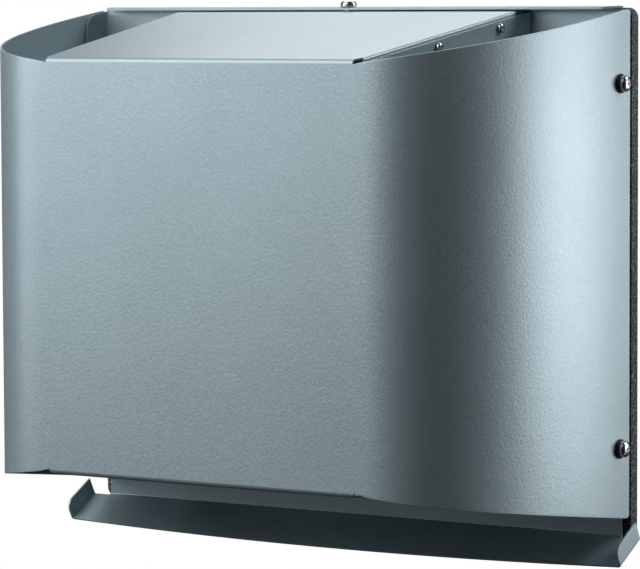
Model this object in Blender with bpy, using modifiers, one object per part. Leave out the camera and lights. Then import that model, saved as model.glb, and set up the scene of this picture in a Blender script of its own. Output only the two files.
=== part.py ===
"""Wall hood for a ventilation duct: bent sheet cowl, back plate, chamber walls, drip tray.

World frame, metres: +X to the right as seen from in front, +Y into the wall, +Z up.
The wall is the plane y = 0. The origin is on that plane, on the centre line,
GASKET_BELOW above the lower edge of the wall gasket.
"""

import math

import bmesh
import bpy
from mathutils import Matrix, Vector

# Sheet and fits
SHEET = 0.0012
GAP = 0.0003
TIGHT_BEND = 0.0020
LID_BEND = 0.0028
BOTTOM_BEND = 0.0030
LID_EDGE_BEND = 0.0015

# Cowl
HALF_WIDTH = 0.1850
FRONT_Y = -0.1780
FRONT_TOP = 0.2634
FRONT_BOTTOM = 0.0228
REAR_TOP = 0.2912
REAR_BOTTOM = -0.0035
WING_START_X = 0.1118
WING_STRAIGHT = 0.0140
WING_FRONT_FULLNESS = 0.800
WING_SIDE_FULLNESS = 0.398
WING_CORNER = 0.0055
BOTTOM_TAB_DEPTH = 0.0280
RELIEF_WIDTH = 0.0078
RELIEF_DEPTH = 0.0004
WING_TOP_DROP = 0.0010
WING_BOTTOM_RISE = 0.0012

# Lid and the chamber under it
LID_INSET = 0.0046
LID_REAR_GAP = 0.0020
LID_LEVEL_AHEAD = 0.0020
LID_LEVEL_BELOW_TOP = 0.0014
LID_LEVEL_SLOPE = 0.0560
LID_FLANGE_SETBACK = 0.0065
LID_FLANGE_DROP = 0.0110
WALL_BELOW_LID = 0.0023
CHAMBER_WALL_SETBACK = 0.0020
CHAMBER_WALL_ABOVE_EDGE = 0.0059
CHAMBER_WALL_ABOVE_STRIP = 0.0040
CHAMBER_WALL_FLANGE = 0.0140

# Gasket and back plate
GASKET_THICK = 0.0077
GASKET_OVERHANG = 0.0008
GASKET_BELOW = 0.0150
GASKET_TOP_INSET = 0.0002
GASKET_CORNER = 0.0060
PLATE_BOTTOM = -0.0130
PLATE_ABOVE_COWL = 0.0009
SIDE_FLANGE_DEPTH = 0.0222
SIDE_FLANGE_TOP_INSET = 0.0010
SIDE_FLANGE_TOP_FALL = 0.0032
SIDE_FLANGE_BOTTOM_INSET = 0.0015
SIDE_FLANGE_CORNER = 0.0080
TOP_FLANGE_DEPTH = 0.0140
TOP_FLANGE_SLOPE = 0.0600
TOP_FLANGE_INSET = 0.0045
TOP_FLANGE_CHAMFER = 0.0070

# Duct opening
DUCT_RADIUS = 0.0800
DUCT_Z = 0.1500
COLLAR_FLANGE = 0.0120
COLLAR_RECESS = 0.0010
COLLAR_SIDE_ROOM = 0.0140
PLATE_HOLE_CLEARANCE = 0.0005
GASKET_HOLE_CLEARANCE = 0.0015

# Drip tray
TRAY_OVERHANG = 0.0090
TRAY_STRIP_INSET = 0.0035
TRAY_STRIP_TOP = 0.0120
TRAY_FOLD_BELOW_PLATE = 0.0006
TRAY_FLOOR_FALL = math.radians(28.3)
TRAY_FLOOR_END_DEPTH = 0.0277
TRAY_BOW = 0.0060
TRAY_FLAP = 0.0125
TRAY_FLAP_CORNER = 0.0060
TRAY_REAR_STEP = 0.0006

# Fasteners: shank radius, head radius, head height
M5_SCREW = (0.0025, 0.00475, 0.0037)
M3_SCREW = (0.0015, 0.0029, 0.0022)
RIVET = (0.0016, 0.0031, 0.0012)
HOLE_CLEARANCE = 0.0003
SIDE_SCREW_FROM_PLATE = 0.0124
SIDE_SCREW_FROM_BOTTOM = 0.0425
SIDE_SCREW_FROM_TOP = 0.0432
SIDE_SCREW_LENGTH = 0.0120
TOP_SCREW_LENGTH = 0.0110
CHAMBER_SCREW_FRONT_Y = -0.1038
CHAMBER_SCREW_REAR_Y = -0.0428
CHAMBER_SCREW_BELOW_LID = 0.0070
CHAMBER_SCREW_LENGTH = 0.0070
WASHER_RADIUS = 0.0056
WASHER_THICK = 0.0014
WALL_HOLE_RADIUS = 0.0035
WALL_HOLE_INSET = 0.0350
WALL_HOLE_FROM_BOTTOM = 0.0485
WALL_HOLE_FROM_TOP = 0.0462
TRAY_RIVET_X = 0.1400
TRAY_RIVET_Z = 0.0010
WALL_RIVET_FROM_BOTTOM = 0.0535
WALL_RIVET_FROM_TOP = 0.0312

# Round resolution
BEND_STEPS = 5
WING_STEPS = 18
ROUND_SIDES = 24
DUCT_SIDES = 64

PLATE_BACK_Y = -GASKET_THICK - GAP
PLATE_FRONT_Y = PLATE_BACK_Y - SHEET
TRAY_BACK_Y = PLATE_FRONT_Y - GAP
COWL_REAR_Y = PLATE_BACK_Y - GAP
WING_REAR_Y = COWL_REAR_Y - WING_STRAIGHT
WING_FRONT_PULL = WING_FRONT_FULLNESS * (HALF_WIDTH - WING_START_X)
WING_SIDE_PULL = WING_SIDE_FULLNESS * (WING_REAR_Y - FRONT_Y)
FOLD_HALF = WING_START_X - RELIEF_WIDTH
CHAMBER_HALF_FRONT = WING_START_X - LID_INSET
CHAMBER_HALF_REAR = DUCT_RADIUS + COLLAR_FLANGE + COLLAR_SIDE_ROOM + CHAMBER_WALL_FLANGE
WING_FRONT_TOP = FRONT_TOP - WING_TOP_DROP
WING_FRONT_BOTTOM = FRONT_BOTTOM + WING_BOTTOM_RISE
LID_REAR_Y = PLATE_FRONT_Y - LID_REAR_GAP
LID_LEVEL_Y = PLATE_BACK_Y - TOP_FLANGE_DEPTH - LID_LEVEL_AHEAD
LID_SLOPE = (REAR_TOP - LID_LEVEL_BELOW_TOP - FRONT_TOP) / (LID_LEVEL_Y - FRONT_Y)
LID_FLANGE_START_Y = FRONT_Y + LID_FLANGE_SETBACK
CHAMBER_WALL_FRONT_Y = FRONT_Y + CHAMBER_WALL_SETBACK
CHAMBER_WALL_LOW_FRONT = FRONT_BOTTOM + CHAMBER_WALL_ABOVE_EDGE
CHAMBER_WALL_LOW_REAR = TRAY_STRIP_TOP + CHAMBER_WALL_ABOVE_STRIP
GASKET_HALF_WIDTH = HALF_WIDTH + GASKET_OVERHANG
GASKET_TOP = REAR_TOP - GASKET_TOP_INSET
PLATE_TOP = REAR_TOP + PLATE_ABOVE_COWL
SIDE_FLANGE_TOP = REAR_TOP - SIDE_FLANGE_TOP_INSET
SIDE_FLANGE_BOTTOM = REAR_BOTTOM + SIDE_FLANGE_BOTTOM_INSET
TOP_FLANGE_HALF = HALF_WIDTH - TOP_FLANGE_INSET
TRAY_HALF_WIDTH = HALF_WIDTH + TRAY_OVERHANG
TRAY_STRIP_HALF = HALF_WIDTH - TRAY_STRIP_INSET
TRAY_FOLD_Z = PLATE_BOTTOM - TRAY_FOLD_BELOW_PLATE
SIDE_SCREW_Y = PLATE_BACK_Y - SIDE_SCREW_FROM_PLATE
SIDE_SCREW_LOW_Z = REAR_BOTTOM + SIDE_SCREW_FROM_BOTTOM
SIDE_SCREW_HIGH_Z = REAR_TOP - SIDE_SCREW_FROM_TOP
WALL_HOLE_X = HALF_WIDTH - WALL_HOLE_INSET
WALL_HOLE_LOW_Z = REAR_BOTTOM + WALL_HOLE_FROM_BOTTOM
WALL_HOLE_HIGH_Z = REAR_TOP - WALL_HOLE_FROM_TOP
WALL_RIVET_LOW_Z = REAR_BOTTOM + WALL_RIVET_FROM_BOTTOM
WALL_RIVET_HIGH_Z = REAR_TOP - WALL_RIVET_FROM_TOP

METAL = (0.43, 0.50, 0.53)
STEEL = (0.62, 0.63, 0.64)
ZINC = (0.50, 0.52, 0.53)
FOAM = (0.035, 0.037, 0.040)
RUBBER = (0.02, 0.02, 0.02)


def clear_scene():
    for obj in list(bpy.data.objects):
        bpy.data.objects.remove(obj, do_unlink=True)


def new_collection(name):
    collection = bpy.data.collections.new(name)
    bpy.context.scene.collection.children.link(collection)
    return collection


def new_material(name, colour, roughness, metallic):
    material = bpy.data.materials.new(name)
    material.use_nodes = True
    shader = material.node_tree.nodes["Principled BSDF"]
    shader.inputs["Base Color"].default_value = (*colour, 1.0)
    shader.inputs["Roughness"].default_value = roughness
    shader.inputs["Metallic"].default_value = metallic
    material.diffuse_color = (*colour, 1.0)
    return material


def new_object(name, mesh, material, collection):
    obj = bpy.data.objects.new(name, mesh)
    mesh.materials.append(material)
    collection.objects.link(obj)
    return obj


def arc(centre, radius, start, end, steps):
    """Points of an arc in a plane, angles in radians, both ends included."""
    points = []
    for step in range(steps + 1):
        angle = start + (end - start) * step / steps
        points.append((centre[0] + radius * math.cos(angle), centre[1] + radius * math.sin(angle)))
    return points


def bezier(start, start_pull, end_pull, end, steps):
    """Points of one cubic Bezier piece in a plane, both ends included."""
    points = []
    for step in range(steps + 1):
        t = step / steps
        weights = ((1 - t) ** 3, 3 * t * (1 - t) ** 2, 3 * t * t * (1 - t), t ** 3)
        corners = (start, start_pull, end_pull, end)
        points.append(tuple(sum(w * c[axis] for w, c in zip(weights, corners)) for axis in (0, 1)))
    return points


def sheet_object(name, grids, outward, material, collection):
    """A bent sheet: grids of points give its outer surface, Solidify its thickness inward.

    outward is a direction that the first face of the first grid looks along.
    """
    bm = bmesh.new()
    for rows in grids:
        verts = [[bm.verts.new(point) for point in row] for row in rows]
        for lower, upper in zip(verts, verts[1:]):
            for column in range(len(lower) - 1):
                bm.faces.new((lower[column], lower[column + 1], upper[column + 1], upper[column]))
    bmesh.ops.remove_doubles(bm, verts=bm.verts, dist=0.00001)
    bmesh.ops.recalc_face_normals(bm, faces=bm.faces)
    bm.faces.ensure_lookup_table()
    bm.normal_update()
    if bm.faces[0].normal.dot(Vector(outward)) < 0:
        bmesh.ops.reverse_faces(bm, faces=bm.faces)
    mesh = bpy.data.meshes.new(name)
    bm.to_mesh(mesh)
    bm.free()
    obj = new_object(name, mesh, material, collection)
    solid = obj.modifiers.new("Sheet", "SOLIDIFY")
    solid.thickness = SHEET
    solid.offset = -1.0
    solid.use_even_offset = True
    mesh.shade_smooth()
    mesh.set_sharp_from_angle(angle=math.radians(35))
    return obj


def aim(location, direction):
    """World matrix that puts local +Z along direction at location."""
    turn = Vector((0, 0, 1)).rotation_difference(Vector(direction))
    return Matrix.Translation(Vector(location)) @ turn.to_matrix().to_4x4()


def turned_object(name, profile, sides, location, direction, material, collection):
    """A turned piece from (radius, height) points, top to bottom, about the local Z axis."""
    mesh = bpy.data.meshes.new(name)
    verts = [(radius, 0.0, height) for radius, height in profile]
    edges = [(index, index + 1) for index in range(len(profile) - 1)]
    closed_ring = profile[0][0] > 0.0
    if closed_ring:
        edges.append((len(profile) - 1, 0))
    mesh.from_pydata(verts, edges, [])
    obj = new_object(name, mesh, material, collection)
    screw = obj.modifiers.new("Turn", "SCREW")
    screw.steps = sides
    screw.render_steps = sides
    screw.use_merge_vertices = True
    screw.merge_threshold = 0.00001
    screw.use_smooth_shade = True
    obj.matrix_world = aim(location, direction)
    return obj


def cylinder_cutter(name, radius, length, location, direction, sides, cutters):
    mesh = bpy.data.meshes.new(name)
    bm = bmesh.new()
    bmesh.ops.create_cone(bm, cap_ends=True, segments=sides, radius1=radius, radius2=radius, depth=length)
    bm.to_mesh(mesh)
    bm.free()
    obj = bpy.data.objects.new(name, mesh)
    cutters.objects.link(obj)
    obj.matrix_world = aim(location, direction)
    obj.hide_render = True
    obj.display_type = "WIRE"
    return obj


def box_cutter(name, size, matrix, cutters):
    mesh = bpy.data.meshes.new(name)
    bm = bmesh.new()
    bmesh.ops.create_cube(bm, size=1.0)
    bmesh.ops.scale(bm, vec=size, verts=bm.verts)
    bm.to_mesh(mesh)
    bm.free()
    obj = bpy.data.objects.new(name, mesh)
    cutters.objects.link(obj)
    obj.matrix_world = matrix
    obj.hide_render = True
    obj.display_type = "WIRE"
    return obj


def cut(obj, cutter):
    boolean = obj.modifiers.new("Cut " + cutter.name, "BOOLEAN")
    boolean.operation = "DIFFERENCE"
    boolean.solver = "EXACT"
    boolean.object = cutter


def drill(name, radius, length, location, direction, targets, cutters, sides=ROUND_SIDES):
    cutter = cylinder_cutter(name, radius, length, location, direction, sides, cutters)
    for target in targets:
        cut(target, cutter)


def lid_z(y):
    """Height of the lid's outer face over a depth y, on its sloped part."""
    return FRONT_TOP + LID_SLOPE * (y - FRONT_Y)


def chamber_half(y):
    """Half width to the outer face of the lid's side flanges at depth y."""
    share = (y - FRONT_Y) / (PLATE_FRONT_Y - FRONT_Y)
    return CHAMBER_HALF_FRONT + (CHAMBER_HALF_REAR - CHAMBER_HALF_FRONT) * share


def wing_plan():
    """Outer face of the right wing in plan, from the flat panel's end to the wall side."""
    curve = bezier(
        (WING_START_X, FRONT_Y),
        (WING_START_X + WING_FRONT_PULL, FRONT_Y),
        (HALF_WIDTH, WING_REAR_Y - WING_SIDE_PULL),
        (HALF_WIDTH, WING_REAR_Y),
        WING_STEPS,
    )
    corner_steps = 4
    for step in range(corner_steps + 1):
        angle = math.pi / 2 * step / corner_steps
        curve.append((HALF_WIDTH, COWL_REAR_Y - WING_CORNER * (1 - math.sin(angle))))
    return curve


def wing_edges(plan):
    """Top and bottom heights along the wing: straight over the run, with rounded rear corners."""
    run = [0.0]
    for before, after in zip(plan, plan[1:]):
        run.append(run[-1] + math.dist(before, after))
    heights = []
    for (_, y), length in zip(plan, run):
        share = length / run[-1]
        past = max(0.0, WING_CORNER - (COWL_REAR_Y - y))
        drop = WING_CORNER - math.sqrt(max(0.0, WING_CORNER ** 2 - past ** 2))
        top = WING_FRONT_TOP + (REAR_TOP - WING_FRONT_TOP) * share - drop
        bottom = WING_FRONT_BOTTOM + (REAR_BOTTOM - WING_FRONT_BOTTOM) * share + drop
        heights.append((bottom, top))
    return heights


def cowl(material, parts):
    """Front panel, side wings, lid and bottom tab, bent from one sheet."""
    lid_angle = math.atan(LID_SLOPE)
    lid_bend_angle = math.pi / 2 - lid_angle
    lid_start_z = FRONT_TOP - LID_BEND * math.tan(lid_bend_angle / 2)
    bottom_start_z = FRONT_BOTTOM + BOTTOM_BEND
    relief_low = bottom_start_z + RELIEF_DEPTH
    relief_high = lid_start_z - RELIEF_DEPTH
    relief_slant = RELIEF_DEPTH / 2
    plan = wing_plan()
    heights = wing_edges(plan)

    right = []
    for x, low, high in (
        (FOLD_HALF, bottom_start_z, lid_start_z),
        (FOLD_HALF + relief_slant, relief_low, relief_high),
        (WING_START_X - relief_slant, relief_low, relief_high),
    ):
        right.append((x, FRONT_Y, low, high))
    for (x, y), (low, high) in zip(plan, heights):
        right.append((x, y, low, high))
    left = [(-x, y, low, high) for x, y, low, high in reversed(right)]
    middle = [(share * FOLD_HALF, FRONT_Y, bottom_start_z, lid_start_z) for share in (-0.5, 0.0, 0.5)]
    strip = left + middle + right
    body = [[(x, y, low) for x, y, low, high in strip], [(x, y, high) for x, y, low, high in strip]]

    # The lid's columns are the panel's own, and they spread with the chamber's flare.
    lid_columns = [x for x, y, low, high in strip if abs(x) <= FOLD_HALF + GAP / 10 and y == FRONT_Y]
    lid_rows = [[(x, FRONT_Y, lid_start_z) for x in lid_columns]]
    bend_centre = (FRONT_Y + LID_BEND, lid_start_z)
    for y, z in arc(bend_centre, LID_BEND, math.pi, math.pi - lid_bend_angle, BEND_STEPS)[1:]:
        lid_rows.append([(x, y, z) for x in lid_columns])
    level_z = lid_z(LID_LEVEL_Y)
    rear_z = level_z + LID_LEVEL_SLOPE * (LID_REAR_Y - LID_LEVEL_Y)
    for y, z in ((LID_FLANGE_START_Y, lid_z(LID_FLANGE_START_Y)), (LID_LEVEL_Y, level_z), (LID_REAR_Y, rear_z)):
        spread = (chamber_half(y) - LID_EDGE_BEND) / FOLD_HALF
        lid_rows.append([(x * spread, y, z) for x in lid_columns])

    side_flanges = []
    for side in (-1, 1):
        rows = []
        for y in (LID_FLANGE_START_Y, LID_LEVEL_Y):
            edge = chamber_half(y) - LID_EDGE_BEND
            row = []
            for out, up in arc((edge, -LID_EDGE_BEND), LID_EDGE_BEND, math.pi / 2, 0.0, 3):
                row.append((side * out, y, lid_z(y) + up))
            row.append((side * (edge + LID_EDGE_BEND), y, lid_z(y) - LID_FLANGE_DROP))
            rows.append(row)
        side_flanges.append(rows)

    tab_columns = [x for x, y, low, high in strip if abs(x) <= FOLD_HALF + GAP / 10 and y == FRONT_Y]
    tab_rows = []
    bend_centre = (FRONT_Y + BOTTOM_BEND, bottom_start_z)
    for y, z in arc(bend_centre, BOTTOM_BEND, math.pi, 3 * math.pi / 2, BEND_STEPS):
        tab_rows.append([(x, y, z) for x in tab_columns])
    tab_rows.append([(x, FRONT_Y + BOTTOM_TAB_DEPTH, FRONT_BOTTOM) for x in tab_columns])

    mid_face_first = [body[0][len(left):len(left) + 2], body[1][len(left):len(left) + 2]]
    grids = [mid_face_first, [row[:len(left) + 1] for row in body], [row[len(left) + 1:] for row in body]]
    return sheet_object("cowl", grids + [lid_rows, tab_rows] + side_flanges, (0, -1, 0), material, parts)


def side_flange_top(y):
    """Height of a side flange's top edge, which falls forwards like the wing's beside it."""
    return SIDE_FLANGE_TOP - SIDE_FLANGE_TOP_FALL * (PLATE_BACK_Y - y) / SIDE_FLANGE_DEPTH


def back_plate(material, parts):
    """Plate on the gasket, with side flanges inside the wings and a top flange over the lid."""
    half = HALF_WIDTH - SHEET - GAP
    bend = TIGHT_BEND
    front_y = PLATE_BACK_Y - SIDE_FLANGE_DEPTH
    corner_steps = 4
    top_start_z = PLATE_TOP - bend

    side = [(TOP_FLANGE_HALF, PLATE_BACK_Y, PLATE_BOTTOM, top_start_z)]
    relief_x = TOP_FLANGE_HALF + bend / 4
    side.append((relief_x, PLATE_BACK_Y, SIDE_FLANGE_BOTTOM, SIDE_FLANGE_TOP))
    for x, y in arc((half - bend, PLATE_BACK_Y - bend), bend, math.pi / 2, 0.0, BEND_STEPS):
        side.append((x, y, SIDE_FLANGE_BOTTOM, side_flange_top(y)))
    for step in range(corner_steps + 1):
        angle = math.pi / 2 * step / corner_steps
        y = front_y + SIDE_FLANGE_CORNER * (1 - math.sin(angle))
        drop = SIDE_FLANGE_CORNER * (1 - math.cos(angle))
        side.append((half, y, SIDE_FLANGE_BOTTOM + drop, side_flange_top(y) - drop))
    mirrored = [(-x, y, low, high) for x, y, low, high in reversed(side)]
    strip = mirrored + [(0.0, PLATE_BACK_Y, PLATE_BOTTOM, top_start_z)] + side
    body = [[(x, y, low) for x, y, low, high in strip], [(x, y, high) for x, y, low, high in strip]]

    flange_columns = (-TOP_FLANGE_HALF, 0.0, TOP_FLANGE_HALF)
    fall = math.atan(TOP_FLANGE_SLOPE)
    flange_rows = []
    bend_end = math.pi / 2 + fall
    for y, z in arc((PLATE_BACK_Y - bend, top_start_z), bend, 0.0, bend_end, BEND_STEPS):
        flange_rows.append([(x, y, z) for x in flange_columns])
    last_y, last_z = flange_rows[-1][0][1:]
    edge_y = PLATE_BACK_Y - TOP_FLANGE_DEPTH
    edge_z = last_z - TOP_FLANGE_SLOPE * (last_y - edge_y)
    flange_rows.append([(x - math.copysign(TOP_FLANGE_CHAMFER, x) if x else x, edge_y, edge_z)
                        for x in flange_columns])
    middle = len(mirrored)
    first = [row[middle:middle + 2] for row in body]
    grids = [first, [row[:middle + 1] for row in body], [row[middle + 1:] for row in body], flange_rows]
    return sheet_object("back_plate", grids, (0, 1, 0), material, parts)


def chamber_wall(side, material, parts):
    """One side of the air chamber: a wall outside the lid's flange, with a flange on the plate."""
    bend = TIGHT_BEND
    flange_y = PLATE_FRONT_Y - GAP
    reach = GAP + SHEET
    corner_y = flange_y - bend
    corner_x = chamber_half(corner_y) + reach
    path = [(chamber_half(CHAMBER_WALL_FRONT_Y) + reach, CHAMBER_WALL_FRONT_Y)]
    path += arc((corner_x - bend, corner_y), bend, 0.0, math.pi / 2, BEND_STEPS)
    path.append((corner_x - CHAMBER_WALL_FLANGE, flange_y))
    low, high = [], []
    for x, y in path:
        share = (y - CHAMBER_WALL_FRONT_Y) / (flange_y - CHAMBER_WALL_FRONT_Y)
        bottom = CHAMBER_WALL_LOW_FRONT + (CHAMBER_WALL_LOW_REAR - CHAMBER_WALL_LOW_FRONT) * share
        low.append((side * x, y, bottom))
        high.append((side * x, y, lid_z(y) - WALL_BELOW_LID))
    name = "chamber_wall_right" if side > 0 else "chamber_wall_left"
    return sheet_object(name, [[low, high]], (side, 0, 0), material, parts)


def rounded_outline(low, high, radius, steps):
    """Corner-rounded rectangle between two (x, z) corners, anticlockwise."""
    corners = (
        ((high[0] - radius, high[1] - radius), 0.0),
        ((low[0] + radius, high[1] - radius), math.pi / 2),
        ((low[0] + radius, low[1] + radius), math.pi),
        ((high[0] - radius, low[1] + radius), 3 * math.pi / 2),
    )
    points = []
    for centre, start in corners:
        points += arc(centre, radius, start, start + math.pi / 2, steps)
    return points


def gasket(material, parts):
    """Foam mat between plate and wall, with the duct's and the wall screws' holes."""
    corner_steps = 4
    outlines = [rounded_outline((-GASKET_HALF_WIDTH, -GASKET_BELOW), (GASKET_HALF_WIDTH, GASKET_TOP),
                                GASKET_CORNER, corner_steps)]
    duct = arc((0.0, DUCT_Z), DUCT_RADIUS + GASKET_HOLE_CLEARANCE, 0.0, 2 * math.pi, DUCT_SIDES)
    outlines.append(duct[:-1])
    for x in (-WALL_HOLE_X, WALL_HOLE_X):
        for z in (WALL_HOLE_LOW_Z, WALL_HOLE_HIGH_Z):
            outlines.append(arc((x, z), WALL_HOLE_RADIUS, 0.0, 2 * math.pi, ROUND_SIDES)[:-1])
    curve = bpy.data.curves.new("wall_gasket_outline", "CURVE")
    curve.dimensions = "2D"
    curve.fill_mode = "BOTH"
    curve.extrude = GASKET_THICK / 2
    for outline in outlines:
        spline = curve.splines.new("POLY")
        spline.points.add(len(outline) - 1)
        for point, (x, z) in zip(spline.points, outline):
            point.co = (x, z, 0.0, 1.0)
        spline.use_cyclic_u = True
    flat = bpy.data.objects.new("wall_gasket_outline", curve)
    parts.objects.link(flat)
    flat.rotation_euler = (math.pi / 2, 0.0, 0.0)
    flat.location = (0.0, -GASKET_THICK / 2, 0.0)
    bpy.context.view_layer.update()
    depsgraph = bpy.context.evaluated_depsgraph_get()
    mesh = bpy.data.meshes.new_from_object(flat.evaluated_get(depsgraph))
    mesh.name = "wall_gasket"
    bm = bmesh.new()
    bm.from_mesh(mesh)
    bmesh.ops.remove_doubles(bm, verts=bm.verts, dist=0.00001)
    bmesh.ops.recalc_face_normals(bm, faces=bm.faces)
    bm.to_mesh(mesh)
    bm.free()
    mesh.materials.clear()
    obj = new_object("wall_gasket", mesh, material, parts)
    obj.matrix_world = flat.matrix_world.copy()
    bpy.data.objects.remove(flat, do_unlink=True)
    return obj


def drip_tray(material, parts):
    """Strip on the plate, sloped floor with a bowed lip, and turned-up end flaps."""
    bend = TIGHT_BEND
    down, forward = math.sin(TRAY_FLOOR_FALL), math.cos(TRAY_FLOOR_FALL)
    bend_angle = math.pi / 2 - TRAY_FLOOR_FALL
    start_z = TRAY_FOLD_Z + bend * math.tan(bend_angle / 2)
    strip_columns = [-TRAY_STRIP_HALF, 0.0, TRAY_STRIP_HALF]

    strip = [[(x, TRAY_BACK_Y, TRAY_STRIP_TOP) for x in strip_columns]]
    for y, z in arc((TRAY_BACK_Y - bend, start_z), bend, 0.0, -bend_angle, BEND_STEPS):
        strip.append([(x, y, z) for x in strip_columns])
    floor_y, floor_z = strip[-1][0][1:]

    def on_floor(x, depth, height):
        """Point over the floor: depth along its slope, height square to it."""
        y = floor_y - depth * forward - height * down
        return (x, y, floor_z - depth * down + height * forward)

    corner_steps = 4
    flap_edge = [(TRAY_REAR_STEP, TRAY_FLAP)]
    for step in range(corner_steps + 1):
        angle = math.pi / 2 * step / corner_steps
        depth = TRAY_FLOOR_END_DEPTH - TRAY_FLAP_CORNER * (1 - math.sin(angle))
        flap_edge.append((depth, TRAY_FLAP - TRAY_FLAP_CORNER * (1 - math.cos(angle))))

    flat_half = TRAY_HALF_WIDTH - bend
    columns = [flat_half * share / 8 for share in range(-8, 9)]
    columns = sorted(set(columns) | {-TRAY_STRIP_HALF, TRAY_STRIP_HALF})
    inner_columns = [x for x in columns if abs(x) <= TRAY_STRIP_HALF]
    strip = [[(x, row[0][1], row[0][2]) for x in inner_columns] for row in strip]
    floor = []
    for depth, _ in flap_edge:
        share = (depth - TRAY_REAR_STEP) / (TRAY_FLOOR_END_DEPTH - TRAY_REAR_STEP)
        row = []
        for x in columns:
            bow = TRAY_BOW * (1 - (x / flat_half) ** 2)
            row.append(on_floor(x, depth + bow * share, 0.0))
        floor.append(row)
    link = [[(x, floor_y, floor_z) for x in inner_columns],
            [on_floor(x, TRAY_REAR_STEP, 0.0) for x in inner_columns]]

    flaps = []
    for side in (-1, 1):
        rows = []
        for depth, height in flap_edge:
            row = []
            for out, up in arc((flat_half, bend), bend, -math.pi / 2, 0.0, BEND_STEPS):
                row.append(on_floor(side * out, depth, up))
            row.append(on_floor(side * TRAY_HALF_WIDTH, depth, height))
            rows.append(row)
        flaps.append(rows)
    return sheet_object("drip_tray", [strip, link, floor] + flaps, (0, 1, 0), material, parts)


def screw_piece(name, size, length, location, direction, recess, material, parts, cutters):
    """Pan-head screw: head from its seat outward along direction, shank the other way."""
    shank, head, height = size
    tip = shank / 4
    profile = [
        (0.0, height),
        (head * 0.45, height * 0.97),
        (head * 0.78, height * 0.80),
        (head * 0.96, height * 0.50),
        (head, height * 0.25),
        (head, 0.0),
        (shank, 0.0),
        (shank, -length + tip),
        (shank - tip, -length),
        (0.0, -length),
    ]
    obj = turned_object(name, profile, ROUND_SIDES, location, direction, material, parts)
    if recess:
        depth = height * 0.55
        for index, turn in enumerate((math.pi / 4, -math.pi / 4)):
            matrix = aim(location, direction) @ Matrix.Rotation(turn, 4, "Z")
            matrix = matrix @ Matrix.Translation((0.0, 0.0, height))
            cutter = box_cutter(f"{name}_slot_{index}", (head * 1.05, head * 0.24, 2 * depth), matrix, cutters)
            cut(obj, cutter)
    return obj


def rivet_piece(name, length, location, direction, material, parts):
    """Blind rivet: low domed head and a plain body through both sheets."""
    shank, head, height = RIVET
    profile = [
        (0.0, height),
        (head * 0.5, height * 0.9),
        (head * 0.85, height * 0.6),
        (head, 0.0),
        (shank, 0.0),
        (shank, -length),
        (0.0, -length),
    ]
    return turned_object(name, profile, ROUND_SIDES, location, direction, material, parts)


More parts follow.
